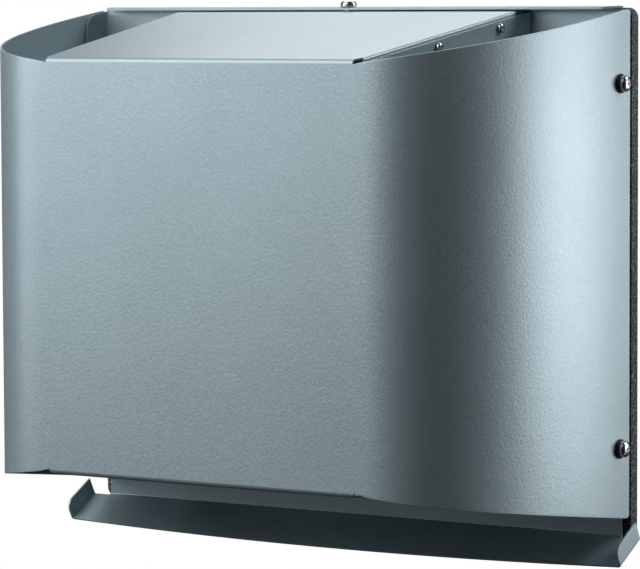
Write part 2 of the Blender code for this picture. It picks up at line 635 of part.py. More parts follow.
def build():
    clear_scene()
    parts = new_collection("wall_ventilation_hood")
    cutters = new_collection("cutters")
    paint = new_material("silver_grey_powder_coat", METAL, 0.45, 0.55)
    steel = new_material("stainless_steel", STEEL, 0.25, 1.0)
    zinc = new_material("zinc_plated_steel", ZINC, 0.35, 1.0)
    foam = new_material("sealing_foam", FOAM, 0.95, 0.0)
    rubber = new_material("sealing_rubber", RUBBER, 0.80, 0.0)

    cover = cowl(paint, parts)
    plate = back_plate(paint, parts)
    tray = drip_tray(paint, parts)
    walls = {side: chamber_wall(side, paint, parts) for side in (-1, 1)}
    gasket(foam, parts)

    # Duct opening and its collar
    through = 0.05
    drill("duct_hole", DUCT_RADIUS + PLATE_HOLE_CLEARANCE, through, (0.0, PLATE_BACK_Y, DUCT_Z),
          (0, 1, 0), [plate], cutters, DUCT_SIDES)
    collar_front = GAP + SHEET
    collar_back = -(PLATE_FRONT_Y + COLLAR_RECESS)
    collar_profile = [
        (DUCT_RADIUS + COLLAR_FLANGE, collar_front),
        (DUCT_RADIUS + COLLAR_FLANGE, GAP),
        (DUCT_RADIUS, GAP),
        (DUCT_RADIUS, -collar_back),
        (DUCT_RADIUS - SHEET, -collar_back),
        (DUCT_RADIUS - SHEET, collar_front),
    ]
    collar = turned_object("duct_collar", collar_profile, DUCT_SIDES, (0.0, PLATE_FRONT_Y, DUCT_Z),
                           (0, -1, 0), paint, parts)

    # Top flange screw
    screw_y = PLATE_BACK_Y - TOP_FLANGE_DEPTH * 0.55
    fall = math.atan(TOP_FLANGE_SLOPE)
    flange_up = (0.0, -math.sin(fall), math.cos(fall))
    seat_z = PLATE_TOP - TOP_FLANGE_SLOPE * (PLATE_BACK_Y - TIGHT_BEND - screw_y) + GAP
    seat = (0.0, screw_y, seat_z)
    drill("top_screw_hole", M5_SCREW[0] + HOLE_CLEARANCE, through, seat, flange_up, [plate, cover], cutters)
    screw_piece("top_screw", M5_SCREW, TOP_SCREW_LENGTH, seat, flange_up, True, steel, parts, cutters)

    # Side screws on sealing washers
    for side, side_name in ((-1, "left"), (1, "right")):
        for z, level in ((SIDE_SCREW_LOW_Z, "lower"), (SIDE_SCREW_HIGH_Z, "upper")):
            label = f"{side_name}_{level}"
            face = (side * (HALF_WIDTH + GAP), SIDE_SCREW_Y, z)
            drill(f"side_hole_{label}", M5_SCREW[0] + HOLE_CLEARANCE, through, face, (side, 0, 0),
                  [cover, plate], cutters)
            inner = M5_SCREW[0] + HOLE_CLEARANCE
            washer_profile = [
                (WASHER_RADIUS * 0.9, WASHER_THICK),
                (WASHER_RADIUS, WASHER_THICK * 0.6),
                (WASHER_RADIUS, 0.0),
                (inner, 0.0),
                (inner, WASHER_THICK),
            ]
            turned_object(f"side_washer_{label}", washer_profile, ROUND_SIDES, face, (side, 0, 0), rubber, parts)
            seat = (side * (HALF_WIDTH + WASHER_THICK + 2 * GAP), SIDE_SCREW_Y, z)
            screw_piece(f"side_screw_{label}", M5_SCREW, SIDE_SCREW_LENGTH, seat, (side, 0, 0), True,
                        steel, parts, cutters)

    # Chamber wall screws through wall and lid flange, and rivets through the rear flanges
    flare = math.atan((CHAMBER_HALF_REAR - CHAMBER_HALF_FRONT) / (PLATE_FRONT_Y - FRONT_Y))
    for side, side_name in ((-1, "left"), (1, "right")):
        out = (side * math.cos(flare), -math.sin(flare), 0.0)
        for y, place in ((CHAMBER_SCREW_FRONT_Y, "front"), (CHAMBER_SCREW_REAR_Y, "rear")):
            label = f"{side_name}_{place}"
            x = chamber_half(y) + GAP + SHEET + GAP
            seat = (side * x, y, lid_z(y) - CHAMBER_SCREW_BELOW_LID)
            drill(f"chamber_hole_{label}", M3_SCREW[0] + HOLE_CLEARANCE, through / 2, seat, out,
                  [walls[side], cover], cutters)
            screw_piece(f"chamber_screw_{label}", M3_SCREW, CHAMBER_SCREW_LENGTH, seat, out, True,
                        steel, parts, cutters)
        rivet_x = side * (chamber_half(PLATE_FRONT_Y) + GAP - CHAMBER_WALL_FLANGE / 2)
        for z, level in ((WALL_RIVET_LOW_Z, "lower"), (WALL_RIVET_HIGH_Z, "upper")):
            label = f"{side_name}_{level}"
            seat = (rivet_x, TRAY_BACK_Y - SHEET - GAP, z)
            drill(f"wall_rivet_hole_{label}", RIVET[0] + HOLE_CLEARANCE, through, seat, (0, 1, 0),
                  [walls[side], plate], cutters)
            rivet_piece(f"wall_rivet_{label}", PLATE_BACK_Y - seat[1], seat, (0, -1, 0), zinc, parts)

    # Collar rivets, tray rivets
    ring = DUCT_RADIUS + COLLAR_FLANGE * 0.55
    for index in range(4):
        angle = math.radians(45 + 90 * index)
        seat = (ring * math.cos(angle), TRAY_BACK_Y - SHEET - GAP, DUCT_Z + ring * math.sin(angle))
        drill(f"collar_rivet_hole_{index + 1}", RIVET[0] + HOLE_CLEARANCE, through, seat, (0, 1, 0),
              [collar, plate], cutters)
        rivet_piece(f"collar_rivet_{index + 1}", PLATE_BACK_Y - seat[1], seat, (0, -1, 0), zinc, parts)
    for x, place in ((-TRAY_RIVET_X, "left"), (0.0, "middle"), (TRAY_RIVET_X, "right")):
        seat = (x, TRAY_BACK_Y - SHEET - GAP, TRAY_RIVET_Z)
        drill(f"tray_rivet_hole_{place}", RIVET[0] + HOLE_CLEARANCE, through, seat, (0, 1, 0),
              [tray, plate], cutters)
        rivet_piece(f"tray_rivet_{place}", PLATE_BACK_Y - seat[1], seat, (0, -1, 0), zinc, parts)

    # Holes for the wall screws, in line with those of the gasket
    for x in (-WALL_HOLE_X, WALL_HOLE_X):
        for z in (WALL_HOLE_LOW_Z, WALL_HOLE_HIGH_Z):
            drill(f"wall_hole_{x:.2f}_{z:.2f}", WALL_HOLE_RADIUS, through, (x, PLATE_BACK_Y, z),
                  (0, 1, 0), [plate], cutters)


build()
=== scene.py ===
import math

import bmesh
import bpy
from mathutils import Matrix, Vector


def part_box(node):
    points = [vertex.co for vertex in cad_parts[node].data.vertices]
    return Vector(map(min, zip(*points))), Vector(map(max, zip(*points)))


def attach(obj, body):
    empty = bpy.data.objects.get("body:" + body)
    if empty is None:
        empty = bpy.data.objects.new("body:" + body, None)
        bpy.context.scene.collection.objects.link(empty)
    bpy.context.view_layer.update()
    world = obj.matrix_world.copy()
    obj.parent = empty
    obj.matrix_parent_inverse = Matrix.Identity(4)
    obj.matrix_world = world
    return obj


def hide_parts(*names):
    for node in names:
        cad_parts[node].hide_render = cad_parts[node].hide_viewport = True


bl_info = {
    "name": "Wall Ventilation Hood",
    "version": (1, 0, 0),
    "blender": (4, 5, 0),
    "location": "3D View > Sidebar > Hood",
    "description": "Makes a wall hood's fine sheet metal, seals and fasteners, and a studio to show it in",
    "category": "Add Mesh",
}

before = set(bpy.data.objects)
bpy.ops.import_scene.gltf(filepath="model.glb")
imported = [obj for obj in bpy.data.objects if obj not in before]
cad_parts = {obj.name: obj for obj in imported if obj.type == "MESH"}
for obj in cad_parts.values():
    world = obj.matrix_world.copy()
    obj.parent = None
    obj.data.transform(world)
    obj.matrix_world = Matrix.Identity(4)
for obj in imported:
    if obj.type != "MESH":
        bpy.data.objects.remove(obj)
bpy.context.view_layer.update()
COWL_LOW, COWL_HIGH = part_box("cowl")
PLATE_LOW, PLATE_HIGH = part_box("back_plate")
GASKET_LOW, GASKET_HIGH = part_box("wall_gasket")
TRAY_LOW, TRAY_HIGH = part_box("drip_tray")
COLLAR_LOW, COLLAR_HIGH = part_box("duct_collar")

# Bends and edges, metres
LID_BEND = 0.0028
LID_EDGE_BEND = 0.0015
BOTTOM_BEND = 0.0030
TIGHT_BEND = 0.0020
EDGE_ROUND = 0.00028
NEAR = 0.00002
DOUBLES = 0.00001
CORNER_REACH = 0.001

# Gaps, insets and corners, metres
SHEET_GAP = 0.0003
PLATE_BACK = GASKET_LOW.y - SHEET_GAP
LID_LEVEL_AHEAD = 0.0020
LID_REAR_GAP = 0.0020
LID_FLANGE_SETBACK = 0.0065
WALL_BELOW_LID = 0.0023
WALL_ABOVE_EDGE = 0.0059
WALL_FLANGE = 0.0140
TOP_FLANGE_INSET = 0.0045
TOP_FLANGE_CHAMFER = 0.0070
SIDE_FLANGE_TOP_INSET = 0.0010
SIDE_FLANGE_BOTTOM_INSET = 0.0015
SIDE_FLANGE_CORNER = 0.0080
TRAY_STRIP_INSET = 0.0035
TRAY_FOLD_BELOW_PLATE = 0.0006
TRAY_REAR_STEP = 0.0006
TRAY_FLAP_CORNER = 0.0060
TRAY_COLUMNS = 12
FOAM_CORNER = 0.0060
FOAM_EDGE_ROUND = 0.0006

# Holes, metres
PLATE_HOLE_ROOM = 0.0005
FOAM_HOLE_ROOM = 0.0015
WALL_HOLE_RADIUS = 0.0035
WALL_HOLE_INSET = 0.0350
WALL_HOLE_UP = 0.0485
WALL_HOLE_DOWN = 0.0462
SHANK_ROOM = 0.0003
DRILL_REACH = 0.03

# Fasteners: shank radius, head radius, head height, length under the head
M5_SCREW = (0.0025, 0.00475, 0.0037, 0.0112)
M3_SCREW = (0.0015, 0.0029, 0.0022, 0.0066)
# Screw head from the seat up: shares of its radius, and rises as shares of its height
HEAD_UNDER = 0.94
HEAD_DOME = ((1.0, 0.10), (1.0, 0.28), (0.965, 0.20), (0.88, 0.18), (0.74, 0.13), (0.55, 0.07), (0.30, 0.04))
RECESS = (1.12, 0.24, 1.1)
# Each screw stops at an angle of its own: a start, and turns by its depth and height
SCREW_TURN = (0.35, 30.0, 9.0)
TILTED_HEAD = 0.2
# Washer from the bore out: shares of its outer radius, and rises as shares of its height
WASHER_RING = ((0.95, 0.0), (1.0, 0.10), (1.0, 0.45), (0.97, 0.25), (0.90, 0.20))
COLLAR_LIP = ((0.0012, 0.0), (0.0004, -0.0004), (0.0, -0.0008))

# Studio: softboxes by name, azimuth and elevation in degrees, width in metres, power in watts
SOFTBOXES = (
    ("front_left_low", -55.0, 5.0, 0.55, 1.8),
    ("front_low", -33.0, 5.0, 0.55, 0.9),
    ("front_high", -33.0, 40.0, 1.5, 18.2),
    ("side_low", 130.0, 0.5, 0.55, 5.2),
    ("side_high", 130.0, 39.0, 0.55, 6.1),
    ("rear_high", -150.0, 40.0, 0.55, 3.2),
    ("under_side", 110.0, -35.0, 0.55, 0.5),
)
SOFTBOX_DISTANCE = 1.3
LIT_POINT = (0.04, -0.09, 0.14)
CAMERA_TURN = (32.61, 4.36, -0.23)
CAMERA_TARGET = (0.0423, -0.1150, 0.1343)
CAMERA_DISTANCE = 2.098
CAMERA_LENS = 207.0
FLOOR_RADIUS = 1.9
FLOOR_LEVEL = -0.62
FLOOR_GLOW = 0.85


def length(**words):
    """Length property in metres, shown to a tenth of a millimetre."""
    return bpy.props.FloatProperty(unit="LENGTH", precision=4, **words)


class HoodSizes(bpy.types.PropertyGroup):
    """Sizes of the hood's sheet metal."""

    sheet: length(
        name="Sheet thickness", description="Thickness of all the bent sheet",
        default=0.0012, min=0.0005, max=0.003)
    front_top: length(
        name="Front top", description="Height of the bend between front panel and lid", default=0.2634)
    front_bottom: length(
        name="Front bottom", description="Height of the front panel's lower bend", default=0.0228)
    panel_half: length(
        name="Panel half width", description="Half the width of the flat part of the front", default=0.1118)
    wing_straight: length(
        name="Wing straight", description="Straight strip at the wall end of each wing", default=0.0140)
    wing_front_fullness: bpy.props.FloatProperty(
        name="Front fullness", description="How long a wing stays in the plane of the front",
        default=0.800, min=0.1, max=1.2)
    wing_side_fullness: bpy.props.FloatProperty(
        name="Side fullness", description="How long a wing stays in the plane of the side",
        default=0.398, min=0.1, max=1.2)
    wing_corner: length(
        name="Wing corner", description="Radius of the wing's corners at the wall", default=0.0055)
    wing_steps: bpy.props.IntProperty(
        name="Wing steps", description="Rows along each curved wing", default=30, min=8, max=96)
    tab_depth: length(
        name="Tab depth", description="How far the bottom tab reaches back", default=0.0280)
    relief_width: length(
        name="Relief width", description="Width of the bend reliefs beside lid and tab", default=0.0078)
    wing_bottom_rise: length(
        name="Wing bottom rise", description="Start of the wings' bottoms above the bend", default=0.0012)
    wing_top_drop: length(
        name="Wing top drop", description="Start of the wings' tops below the bend", default=0.0010)
    chamber_half_front: length(
        name="Lid half width, front", description="Half the lid's width at the front", default=0.1072)
    chamber_half_rear: length(
        name="Lid half width, rear", description="Half the lid's width at the plate", default=0.1200)
    lid_level_below_top: length(
        name="Lid end drop", description="Drop from the wings' top to the lid's end", default=0.0014)
    lid_level_slope: bpy.props.FloatProperty(
        name="Level end slope", description="Rise per length of the lid's nearly level end", default=0.0560)
    lid_flange_drop: length(
        name="Lid flange", description="Height of the lid's side flanges", default=0.0110)
    side_flange_depth: length(
        name="Side flange", description="Depth of the back plate's side flanges", default=0.0222)
    side_flange_fall: length(
        name="Side flange fall", description="Fall of a side flange's top edge to the front", default=0.0032)
    top_flange_slope: bpy.props.FloatProperty(
        name="Top flange slope", description="Fall per length of the top flange to the front",
        default=0.0600)
    top_flange_depth: length(
        name="Top flange", description="Depth of the back plate's top flange", default=0.0140)
    duct_radius: length(
        name="Duct radius", description="Radius of the duct opening's collar", default=0.0800)
    tray_fall: bpy.props.FloatProperty(
        name="Tray fall", description="Slope of the drip tray's floor",
        default=math.radians(28.3), subtype="ANGLE")
    tray_depth: length(
        name="Tray depth", description="Depth of the floor along its slope, at the ends", default=0.0277)
    tray_bow: length(
        name="Tray bow", description="How far the lip bows forward at the middle", default=0.0060)
    tray_flap: length(
        name="Tray flap", description="Height of the tray's end flaps", default=0.0125)


class HoodFinish(bpy.types.PropertyGroup):
    """Colours of the hood's finishes."""

    powder: bpy.props.StringProperty(
        name="Powder coat", description="sRGB colour of the powder coat, as hex", default="A5B8C0")
    steel: bpy.props.StringProperty(
        name="Stainless steel", description="sRGB colour of the screws, as hex", default="C9CACB")
    zinc: bpy.props.StringProperty(
        name="Zinc", description="sRGB colour of the zinc-plated rivets, as hex", default="B4B9BC")
    foam: bpy.props.StringProperty(
        name="Foam", description="sRGB colour of the sealing foam, as hex", default="33383B")
    # Colour of the painted highlight on the rims of the foam's cut cells
    foam_rim_highlight: bpy.props.StringProperty(
        name="Foam speckle", description="sRGB colour of the foam's open cells, as hex", default="8C979C")
    rubber: bpy.props.StringProperty(
        name="Rubber", description="sRGB colour of the sealing washers, as hex", default="1C1E20")


# ---------------------------------------------------------------- shapes

def chamber_half(y, sizes):
    """Half width to the outer face of the lid's side flanges at depth y."""
    share = (y - COWL_LOW.y) / (PLATE_LOW.y + sizes.side_flange_depth - sizes.sheet - COWL_LOW.y)
    return sizes.chamber_half_front + (sizes.chamber_half_rear - sizes.chamber_half_front) * share


def lid_level_y(sizes):
    """Depth at which the lid turns nearly level."""
    return PLATE_BACK - sizes.top_flange_depth - LID_LEVEL_AHEAD


def lid_slope(sizes):
    """Rise of the lid per length, from the front to its level end."""
    rise = COWL_HIGH.z - sizes.lid_level_below_top - sizes.front_top
    return rise / (lid_level_y(sizes) - COWL_LOW.y)


def lid_height(y, sizes):
    """Height of the lid's outer face at depth y, along its main slope."""
    return sizes.front_top + lid_slope(sizes) * (y - COWL_LOW.y)


def wing_plan(sizes):
    """Points of the right wing's outer face in plan, with the run along it."""
    front, rear = COWL_LOW.y, COWL_HIGH.y
    turn = rear - sizes.wing_straight
    half = COWL_HIGH.x
    pulls = (
        (sizes.panel_half, front),
        (sizes.panel_half + sizes.wing_front_fullness * (half - sizes.panel_half), front),
        (half, turn - sizes.wing_side_fullness * (turn - front)),
        (half, turn),
    )
    points = []
    for step in range(sizes.wing_steps + 1):
        t = step / sizes.wing_steps
        shares = ((1 - t) ** 3, 3 * t * (1 - t) ** 2, 3 * t * t * (1 - t), t ** 3)
        points.append(Vector((
            sum(share * pull[0] for share, pull in zip(shares, pulls)),
            sum(share * pull[1] for share, pull in zip(shares, pulls)))))
    points.append(Vector((half, rear)))
    runs = [0.0]
    for before, after in zip(points, points[1:]):
        runs.append(runs[-1] + (after - before).length)
    return points, runs


# ---------------------------------------------------------------- bench work

def put_down_tools():
    """Leave edit mode with nothing selected."""
    if bpy.context.object and bpy.context.object.mode != "OBJECT":
        bpy.ops.object.mode_set(mode="OBJECT")
    bpy.ops.object.select_all(action="DESELECT")


def start_sheet(name, width, height, centre):
    """Lay out one flat upright rectangle of sheet and open it for work."""
    put_down_tools()
    bpy.ops.mesh.primitive_plane_add(size=1.0, location=centre, rotation=(math.pi / 2, 0.0, 0.0))
    piece = bpy.context.active_object
    piece.name = name
    piece.data.name = name
    piece.scale = (width, height, 1.0)
    bpy.ops.object.transform_apply(location=True, rotation=True, scale=True)
    bpy.ops.object.mode_set(mode="EDIT")
    return piece


def start_round(name, radius, sides, fill="NOTHING"):
    """Lay out one circle round the upright axis and open it for work."""
    put_down_tools()
    bpy.ops.mesh.primitive_circle_add(vertices=sides, radius=radius, fill_type=fill)
    piece = bpy.context.active_object
    piece.name = name
    piece.data.name = name
    bpy.ops.object.mode_set(mode="EDIT")
    bpy.ops.mesh.select_mode(type="EDGE")
    return piece


def raise_rings(radius, steps):
    """Draw the selected ring on, one step of new radius and rise after another."""
    for wide, rise in steps:
        pull((0.0, 0.0, rise))
        stretch((wide / radius, wide / radius, 1.0), (0.0, 0.0, 0.0))
        radius = wide


def close_round(merge=True):
    """Merge a closed piece's doubles, turn its faces outwards and leave edit mode."""
    bpy.ops.mesh.select_all(action="SELECT")
    if merge:
        bpy.ops.mesh.remove_doubles(threshold=DOUBLES)
    bpy.ops.mesh.normals_make_consistent(inside=False)
    bpy.ops.object.mode_set(mode="OBJECT")


def pick(piece, kind, wanted):
    """Select the vertices, edges or faces that lie wholly where wanted says."""
    bpy.ops.mesh.select_mode(type=kind)
    bpy.ops.mesh.select_all(action="DESELECT")
    mesh = bmesh.from_edit_mesh(piece.data)
    rows = {"VERT": mesh.verts, "EDGE": mesh.edges, "FACE": mesh.faces}[kind]
    count = 0
    for row in rows:
        corners = [row] if kind == "VERT" else row.verts
        chosen = all(wanted(corner.co) for corner in corners)
        row.select_set(chosen)
        count += chosen
    mesh.select_flush_mode()
    bmesh.update_edit_mesh(piece.data)
    if not count:
        raise RuntimeError(f"{piece.name}: nothing to work on there")


def score(point, normal):
    """Mark a line right across the piece without parting it."""
    bpy.ops.mesh.select_all(action="SELECT")
    bpy.ops.mesh.bisect(plane_co=point, plane_no=normal)


def pull(offset):
    """Draw the selected edge out into a new strip."""
    bpy.ops.mesh.extrude_region_move(TRANSFORM_OT_translate={"value": tuple(offset)})


def stretch(factors, centre):
    """Scale what is selected about a point."""
    bpy.ops.transform.resize(value=factors, center_override=tuple(centre))


def fold(angle, centre, axis, steps=7):
    """Bend the selected edge round an axis, right-handed, leaving a rounded strip behind."""
    bpy.ops.mesh.spin(steps=steps, angle=-angle, center=tuple(centre), axis=tuple(axis))


def cut_away(piece, wanted):
    """Snip out the faces that lie wholly where wanted says."""
    pick(piece, "FACE", wanted)
    bpy.ops.mesh.delete(type="FACE")


def round_corner(piece, wanted, radius, segments=7):
    """Round the outline's corners that wanted picks."""
    pick(piece, "VERT", wanted)
    bpy.ops.mesh.bevel(affect="VERTICES", offset=radius, segments=segments)


def make_solid(piece, outward, sheet):
    """Merge doubles, face the open sheet the way outward points, and give it thickness inwards."""
    bpy.ops.mesh.select_mode(type="VERT")
    bpy.ops.mesh.select_all(action="SELECT")
    bpy.ops.mesh.remove_doubles(threshold=DOUBLES)
    bpy.ops.mesh.normals_make_consistent(inside=False)
    mesh = bmesh.from_edit_mesh(piece.data)
    biggest = max(mesh.faces, key=lambda face: face.calc_area() * abs(face.normal.dot(Vector(outward))))
    if biggest.normal.dot(Vector(outward)) < 0:
        bpy.ops.mesh.flip_normals()
    bpy.ops.object.mode_set(mode="OBJECT")
    solid = piece.modifiers.new("thickness", "SOLIDIFY")
    solid.thickness = sheet
    solid.offset = -1.0
    solid.use_even_offset = True
    solid.use_quality_normals = True
    apply_all(piece)


def apply_all(piece):
    """Apply every modifier on the piece, top to bottom."""
    put_down_tools()
    piece.select_set(True)
    bpy.context.view_layer.objects.active = piece
    for name in [modifier.name for modifier in piece.modifiers]:
        bpy.ops.object.modifier_apply(modifier=name)


def drill(piece, radius, centre, sides):
    """Cut a round hole from front to back right through the piece."""
    put_down_tools()
    turn = Vector((0.0, 1.0, 0.0)).to_track_quat("Z", "Y").to_euler()
    bpy.ops.mesh.primitive_cylinder_add(
        vertices=sides, radius=radius, depth=DRILL_REACH, location=centre, rotation=turn)
    bit = bpy.context.active_object
    cutting = piece.modifiers.new("drill", "BOOLEAN")
    cutting.operation = "DIFFERENCE"
    cutting.object = bit
    apply_all(piece)
    bpy.data.objects.remove(bit, do_unlink=True)


def break_edges(piece, width=EDGE_ROUND, segments=2, angle=math.radians(50)):
    """Round the sharp edges a little and shade the bends smooth."""
    rounding = piece.modifiers.new("broken_edges", "BEVEL")
    rounding.width = width
    rounding.segments = segments
    rounding.limit_method = "ANGLE"
    rounding.angle_limit = angle
    rounding.miter_outer = "MITER_ARC"
    apply_all(piece)
    bpy.ops.object.shade_smooth_by_angle(angle=math.radians(38))
    flats = piece.modifiers.new("flat_faces_stay_flat", "WEIGHTED_NORMAL")
    flats.keep_sharp = True
    flats.weight = 80
    apply_all(piece)


def fit(context, piece, slot, *nodes):
    """Give a finished piece its finish and its place in the assembly."""
    piece.data.materials.clear()
    piece.data.materials.append(finish_of(context, slot))
    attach(piece, "root")
    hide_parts(*nodes)
    put_down_tools()


def cut_openings(piece, y, room, sizes):
    """Cut the duct opening and the four wall screw holes through a piece at depth y."""
    centre = (COLLAR_LOW + COLLAR_HIGH) / 2
    drill(piece, sizes.duct_radius + room, (centre.x, y, centre.z), 128)
    for x in (-COWL_HIGH.x + WALL_HOLE_INSET, COWL_HIGH.x - WALL_HOLE_INSET):
        for z in (COWL_LOW.z + WALL_HOLE_UP, COWL_HIGH.z - WALL_HOLE_DOWN):
            drill(piece, WALL_HOLE_RADIUS, (x, y, z), 32)


def copy_to(master, name, matrix):
    """Copy a piece with its own mesh and set the copy down for good."""
    put_down_tools()
    piece = bpy.data.objects.new(name, master.data.copy())
    piece.data.name = name
    bpy.context.scene.collection.objects.link(piece)
    piece.data.transform(matrix)
    return piece


def seat_matrix(seat, direction):
    """Place an upright piece on a seat with its axis along a direction."""
    return Matrix.Translation(seat) @ Vector(direction).to_track_quat("Z", "Y").to_matrix().to_4x4()


# ---------------------------------------------------------------- finishes

def linear(code):
    """Linear colour of an sRGB hex code."""
    channels = []
    for start in (0, 2, 4):
        value = int(code[start:start + 2], 16) / 255
        channels.append(value / 12.92 if value <= 0.04045 else ((value + 0.055) / 1.055) ** 2.4)
    return (*channels, 1.0)


def add_node(tree, kind, settings=None, inputs=None):
    """Add a node, with its settings and its inputs: values, or sockets to link from."""
    node = tree.nodes.new(kind)
    for key, value in (settings or {}).items():
        setattr(node, key, value)
    for key, value in (inputs or {}).items():
        if isinstance(value, bpy.types.NodeSocket):
            tree.links.new(value, node.inputs[key])
        else:
            node.inputs[key].default_value = value
    return node


def start_finish(name, base, metallic, roughness):
    """New material with a plain shader and the piece's own coordinates."""
    material = bpy.data.materials.new(name)
    material.use_nodes = True
    tree = material.node_tree
    shader = tree.nodes["Principled BSDF"]
    shader.inputs["Base Color"].default_value = base
    shader.inputs["Metallic"].default_value = metallic
    shader.inputs["Roughness"].default_value = roughness
    place = add_node(tree, "ShaderNodeTexCoord").outputs["Object"]
    return material, tree, shader, place


def powder_coat(finish):
    """Silver-grey polyester powder coat with aluminium flake, baked to a fine structure."""
    # Baked powder flows into grains about 1.2 mm across, so the sheen breaks up softly,
    # and the flake gives it part of a metal's reflection.
    material, tree, shader, place = start_finish("silver_grey_powder_coat", linear(finish.powder), 0.45, 0.40)
    shader.inputs["IOR"].default_value = 1.5
    grain = add_node(tree, "ShaderNodeTexNoise", None, {
        "Vector": place, "Scale": 1 / 0.0012, "Detail": 2.0, "Roughness": 0.5})
    pits = add_node(tree, "ShaderNodeTexVoronoi", {"feature": "SMOOTH_F1"}, {
        "Vector": place, "Scale": 1 / 0.0016, "Smoothness": 0.6})
    relief = add_node(tree, "ShaderNodeMix", {"data_type": "FLOAT"}, {
        0: 0.35, 2: grain.outputs["Fac"], 3: pits.outputs["Distance"]})
    bump = add_node(tree, "ShaderNodeBump", None, {
        "Height": relief.outputs[0], "Strength": 0.28, "Distance": 0.0004})
    tree.links.new(bump.outputs["Normal"], shader.inputs["Normal"])
    cloud = add_node(tree, "ShaderNodeTexNoise", None, {
        "Vector": place, "Scale": 1 / 0.06, "Detail": 3.0, "Roughness": 0.55})
    mottle = add_node(tree, "ShaderNodeMapRange", None, {
        "Value": cloud.outputs["Fac"], "From Min": 0.3, "From Max": 0.7, "To Min": 0.97, "To Max": 1.03})
    flake = add_node(tree, "ShaderNodeMapRange", None, {
        "Value": grain.outputs["Fac"], "From Min": 0.3, "From Max": 0.7, "To Min": 0.92, "To Max": 1.08})
    shade = add_node(tree, "ShaderNodeMath", {"operation": "MULTIPLY"}, {
        0: mottle.outputs["Result"], 1: flake.outputs["Result"]})
    tint = add_node(tree, "ShaderNodeVectorMath", {"operation": "SCALE"}, {
        0: linear(finish.powder)[:3], "Scale": shade.outputs[0]})
    tree.links.new(tint.outputs["Vector"], shader.inputs["Base Color"])
    gloss = add_node(tree, "ShaderNodeMapRange", None, {
        "Value": grain.outputs["Fac"], "From Min": 0.25, "From Max": 0.75, "To Min": 0.36, "To Max": 0.46})
    tree.links.new(gloss.outputs["Result"], shader.inputs["Roughness"])
    return material


def stainless_steel(finish):
    """Cold-headed stainless steel, tumbled bright."""
    # Tumbling leaves a soft unevenness of about half a millimetre in a bright surface.
    material, tree, shader, place = start_finish("stainless_steel", linear(finish.steel), 1.0, 0.22)
    dents = add_node(tree, "ShaderNodeTexNoise", None, {
        "Vector": place, "Scale": 1 / 0.0005, "Detail": 2.0})
    bump = add_node(tree, "ShaderNodeBump", None, {
        "Height": dents.outputs["Fac"], "Strength": 0.12, "Distance": 0.0001})
    tree.links.new(bump.outputs["Normal"], shader.inputs["Normal"])
    gloss = add_node(tree, "ShaderNodeMapRange", None, {
        "Value": dents.outputs["Fac"], "From Min": 0.3, "From Max": 0.7, "To Min": 0.16, "To Max": 0.30})
    tree.links.new(gloss.outputs["Result"], shader.inputs["Roughness"])
    return material


def zinc_plate(finish):
    """Steel with a bright blue-passivated zinc plating."""
    # The plated skin has faint grains about a millimetre across with their own gloss.
    material, tree, shader, place = start_finish("zinc_plated_steel", linear(finish.zinc), 1.0, 0.34)
    grains = add_node(tree, "ShaderNodeTexVoronoi", None, {"Vector": place, "Scale": 1 / 0.0010})
    gloss = add_node(tree, "ShaderNodeMapRange", None, {
        "Value": grains.outputs["Distance"], "From Min": 0.0, "From Max": 0.8,
        "To Min": 0.28, "To Max": 0.42})
    tree.links.new(gloss.outputs["Result"], shader.inputs["Roughness"])
    return material


def sealing_foam(finish):
    """Closed-cell EPDM foam, sliced, with open cells on the cut faces."""
    # The cut cells, about 1.3 mm across, get a painted highlight: their rims are coloured paler, as if
    # catching light, broken up by a finer noise.
    material, tree, shader, place = start_finish("sealing_foam", linear(finish.foam), 0.0, 0.92)
    cells = add_node(tree, "ShaderNodeTexVoronoi", None, {"Vector": place, "Scale": 1 / 0.0013})
    grit = add_node(tree, "ShaderNodeTexNoise", None, {"Vector": place, "Scale": 1 / 0.0007, "Detail": 3.0})
    rims = add_node(tree, "ShaderNodeMapRange", None, {
        "Value": cells.outputs["Distance"], "From Min": 0.38, "From Max": 0.68, "To Min": 0.0, "To Max": 1.0})
    spread = add_node(tree, "ShaderNodeMapRange", None, {
        "Value": grit.outputs["Fac"], "From Min": 0.42, "From Max": 0.62, "To Min": 0.0, "To Max": 1.0})
    # Painted highlight: the cell rims turn pale where the finer noise allows, standing in for light caught on
    # them
    painted_rim_highlight = add_node(tree, "ShaderNodeMath", {"operation": "MULTIPLY"}, {
        0: rims.outputs["Result"], 1: spread.outputs["Result"]})
    colour = add_node(tree, "ShaderNodeMix", {"data_type": "RGBA"}, {
        0: painted_rim_highlight.outputs[0], 6: linear(finish.foam), 7: linear(finish.foam_rim_highlight)})
    tree.links.new(colour.outputs[2], shader.inputs["Base Color"])
    bump = add_node(tree, "ShaderNodeBump", None, {
        "Height": cells.outputs["Distance"], "Strength": 0.7, "Distance": 0.0005})
    tree.links.new(bump.outputs["Normal"], shader.inputs["Normal"])
    return material


def sealing_rubber(finish):
    """Black EPDM rubber, moulded, with a dull bloom."""
    # The mould leaves a fine matt grain of about 0.4 mm.
    material, tree, shader, place = start_finish("sealing_rubber", linear(finish.rubber), 0.0, 0.62)
    grain = add_node(tree, "ShaderNodeTexNoise", None, {"Vector": place, "Scale": 1 / 0.0004, "Detail": 2.0})
    bump = add_node(tree, "ShaderNodeBump", None, {
        "Height": grain.outputs["Fac"], "Strength": 0.3, "Distance": 0.0001})
    tree.links.new(bump.outputs["Normal"], shader.inputs["Normal"])
    return material


FINISHES = {
    "silver_grey_powder_coat": powder_coat,
    "stainless_steel": stainless_steel,
    "zinc_plated_steel": zinc_plate,
    "sealing_foam": sealing_foam,
    "sealing_rubber": sealing_rubber,
}


def finish_of(context, name):
    """The named finish, made on first use in place of the plain one."""
    existing = bpy.data.materials.get(name)
    if existing and existing.get("hood_finish"):
        return existing
    if existing:
        existing.name = name + "_cad"
    material = FINISHES[name](context.scene.hood_finish)
    material["hood_finish"] = True
    return material


# ---------------------------------------------------------------- operators

